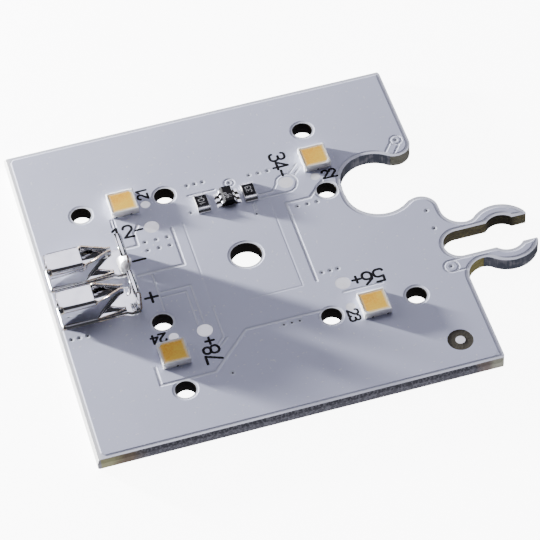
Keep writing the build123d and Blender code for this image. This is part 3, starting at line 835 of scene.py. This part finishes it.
# Wire terminals. Each is stamped and folded from one strip of spring bronze, tinned before it was cut, so its
# faces are bright and its sheared edges show the brown metal. The end stop's hood is slightly rolled.
sheet = 0.25
sheared_round = 0.03
hood_depth = 0.95
hood_skin = 0.2
roll_radius = 0.35
roll_end = 0.4
tin = Finish("terminal_tin", {"Metallic": 1.0})
marks = tin.noise(5.0, (0.12, 1, 1), detail=3.0)
stain = tin.noise(0.7, detail=3.0)
tin.colour(tin.mix(stain.band(0.45, 0.7), (0.86, 0.86, 0.87), (0.76, 0.76, 0.78)))
tin.roughness(marks * 0.06 + stain * 0.06 - 0.02)
terminal_low, terminal_high = (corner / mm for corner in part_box("terminal_minus"))
x, _, z = tin.place()
across_roll = (x - (terminal_high.x - hood_depth + roll_radius)) | -roll_radius
across_roll = across_roll.maths("MINIMUM", across_roll, roll_end)
hood_roll = (roll_radius**2 - across_roll * across_roll) * 0.5 * (z > terminal_high.z - hood_skin)
tin.bump((marks * 0.3 + stain) * 0.0007 + hood_roll, 1.0)
bronze = Finish("sheared_bronze", {"Metallic": 1.0})
burr = bronze.noise(7.0, detail=4.0)
bronze.colour(bronze.mix(burr.band(0.4, 0.6), (0.42, 0.3, 0.2), (0.72, 0.64, 0.52)))
bronze.roughness(burr * 0.3 + 0.15)
bronze.bump(burr, 0.02)
for name in ("terminal_minus", "terminal_plus"):
    piece = add_piece(name + "_formed", softened(name, sheared_round, sheet=sheet), tin, bronze)
    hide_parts(name)
    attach(piece, "root")

# Wicked solder. More than the joint needed ran up inside the minus terminal. It froze with a frosted skin, as
# a fillet between the floor and the end stop and as a flattened drop on the stop.
bite = 0.02
fillet_reach = 1.25
fillet_half = (terminal_high.y - terminal_low.y) / 2 - 0.2
drop_centre = (terminal_high.x - 0.4, terminal_low.y + 0.38, terminal_low.z + 1.4)
drop_half = (1.0, 1.05, 0.34)
upward = (0.69, 0, 0.73)
outward = (-0.73, 0, 0.69)
wicked = Finish("wicked_solder", {"Metallic": 1.0})
frost = wicked.noise(2.5, detail=3.0)
wicked.colour(wicked.mix(frost.band(0.4, 0.65), (0.93, 0.93, 0.93), (0.86, 0.86, 0.87)))
wicked.roughness(frost * 0.3 + 0.34)
wicked.bump(frost, 0.008)
across, around = np.meshgrid(np.linspace(-1, 0.4, 33), np.radians(np.linspace(0, 90, 13)), indexing="ij")
reaches = fillet_reach * (1 - 0.4 * across**6)
x = terminal_high.x - sheet + bite - reaches * (1 - np.sin(around))
y = (terminal_low.y + terminal_high.y) / 2 + across * fillet_half
z = terminal_low.z + sheet - bite + reaches * (1 - np.cos(around))
fillet_spots = np.stack([x, y, z], axis=2).reshape(-1, 3)
rows, columns = across.shape
cells = [(i * columns + j, (i + 1) * columns + j) for i in range(rows - 1) for j in range(columns - 1)]
fillet_faces = [(a, a + 1, b + 1, b) for a, b in cells]

around, down = np.meshgrid(np.linspace(0, 2 * pi, 41)[:-1], np.linspace(0, pi, 21)[1:-1])
swell = 1 + 0.05 * np.sin(around * 3 + 1)
x = np.cos(around) * np.sin(down) * swell
y = np.sin(around) * np.sin(down) * swell
z = np.sign(np.cos(down)) * (1 - np.sin(down) ** 3)
ball = np.concatenate([np.stack([x, y, z], axis=2).reshape(-1, 3), [(0, 0, 1), (0, 0, -1)]])
drop_spots = drop_centre + (ball * drop_half) @ np.array([upward, (0, 1, 0), outward])
rows, columns = around.shape
cells = [(i * columns + j, i * columns + (j + 1) % columns) for i in range(rows - 1) for j in range(columns)]
drop_faces = [(a, a + columns, b + columns, b) for a, b in cells]
drop_faces += [(len(ball) - 2, j, (j + 1) % columns) for j in range(columns)]
last = (rows - 1) * columns
drop_faces += [(len(ball) - 1, last + (j + 1) % columns, last + j) for j in range(columns)]
for name, spots, faces in (("fillet", fillet_spots, fillet_faces), ("drop", drop_spots, drop_faces)):
    wicked_mesh = bpy.data.meshes.new("terminal_minus_" + name)
    wicked_mesh.from_pydata(spots * mm, [], faces)
    wicked_mesh.shade_smooth()
    lump = add_piece("terminal_minus_" + name, wicked_mesh, wicked)
    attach(lump, "root")

# Camera. It looks down at the board from the front left through a long lens, at the photograph's angle, which
# was solved from the board's outline, its holes and its light packages.
aim = Vector((2.129, -3.321, 1.8)) * mm
distance = 333.634 * mm
elevation, azimuth, lean = 49.834, -13.774, -3.187
turn = Matrix.Rotation(radians(azimuth), 4, "Z") @ Matrix.Rotation(radians(90 - elevation), 4, "X")
turn = turn @ Matrix.Rotation(radians(lean), 4, "Z")
camera = bpy.data.objects.new("camera", bpy.data.cameras.new("camera"))
bpy.context.collection.objects.link(camera)
camera.data.lens = 179.35
camera.data.sensor_width = 36
camera.data.clip_start = 0.01
camera.matrix_world = Matrix.Translation(aim) @ turn @ Matrix.Translation((0, 0, distance))
bpy.context.scene.camera = camera

# Floor. A plain white table top, lit so brightly from below that no shadow shows on it, as in the photograph.
# It neither lights the board nor mirrors in it.
floor_half = 3.0
floor_corners = [(x * floor_half, y * floor_half, 0) for x, y in ((-1, -1), (1, -1), (1, 1), (-1, 1))]
floor_mesh = bpy.data.meshes.new("floor")
floor_mesh.from_pydata(floor_corners, [], [(0, 1, 2, 3)])
plain = {"Base Color": (0.9, 0.9, 0.9), "Roughness": 0.9, "Specular IOR Level": 0.0}
white = Finish("white_table", {**plain, "Emission Color": (1.0, 1.0, 1.0), "Emission Strength": 9.0})
floor = add_piece("floor", floor_mesh, white)
floor.location.z = -0.01 * mm
floor.visible_diffuse = False
floor.visible_glossy = False

# Light. A low lamp stands near the board's back left and rakes over the relief. A soft panel hangs behind the
# board where the flat metal mirrors it, with a smaller one to its left. A faint light comes from low in
# front, and the rest of the studio is dim.
key_reach = 0.206
key_height = 0.026
key_size = 0.014
key_power = 2.75
panel_way = (0.154, 0.627, 0.764)
side_panel_way = (-0.72, 0.62, 0.3)
key = bpy.data.objects.new("key", bpy.data.lights.new("key", "AREA"))
bpy.context.collection.objects.link(key)
key.location = (-0.8 * key_reach, 0.6 * key_reach, key_height)
key.rotation_euler = (key.location - Vector((0, 0, board_top * mm))).to_track_quat("Z", "Y").to_euler()
key.data.shape = "DISK"
key.data.size = key_size
key.data.energy = key_power
key.visible_camera = False


class Studio(Nodes):
    """The world behind the stage."""

    def __init__(self, name):
        self.world = bpy.data.worlds.new(name)
        self.world.use_nodes = True
        self.tree = self.world.node_tree
        self.shader = self.tree.nodes["Background"]

    def towards(self, direction):
        """The cosine between where a ray goes and a direction."""
        heading = self.node("ShaderNodeTexCoord", output="Generated")
        values = {0: heading, 1: tuple(Vector(direction).normalized())}
        return self.node("ShaderNodeVectorMath", {"operation": "DOT_PRODUCT"}, values, output="Value")


studio = Studio("studio")
panel = studio.towards(panel_way).band(0.87, 0.96)
side_panel = studio.towards(side_panel_way).band(0.93, 0.975)
low = 1 - studio.towards((0, 0, 1)).band(0.05, 0.4)
in_front = studio.towards((0, -1, 0)).band(-0.6, 0.3)
brightness = panel * 2.15 + side_panel * 4.0 + low * in_front * 0.55 + 0.045
studio.feed(studio.shader, {"Color": (0.95, 0.945, 1.1), "Strength": brightness})
bpy.context.scene.world = studio.world
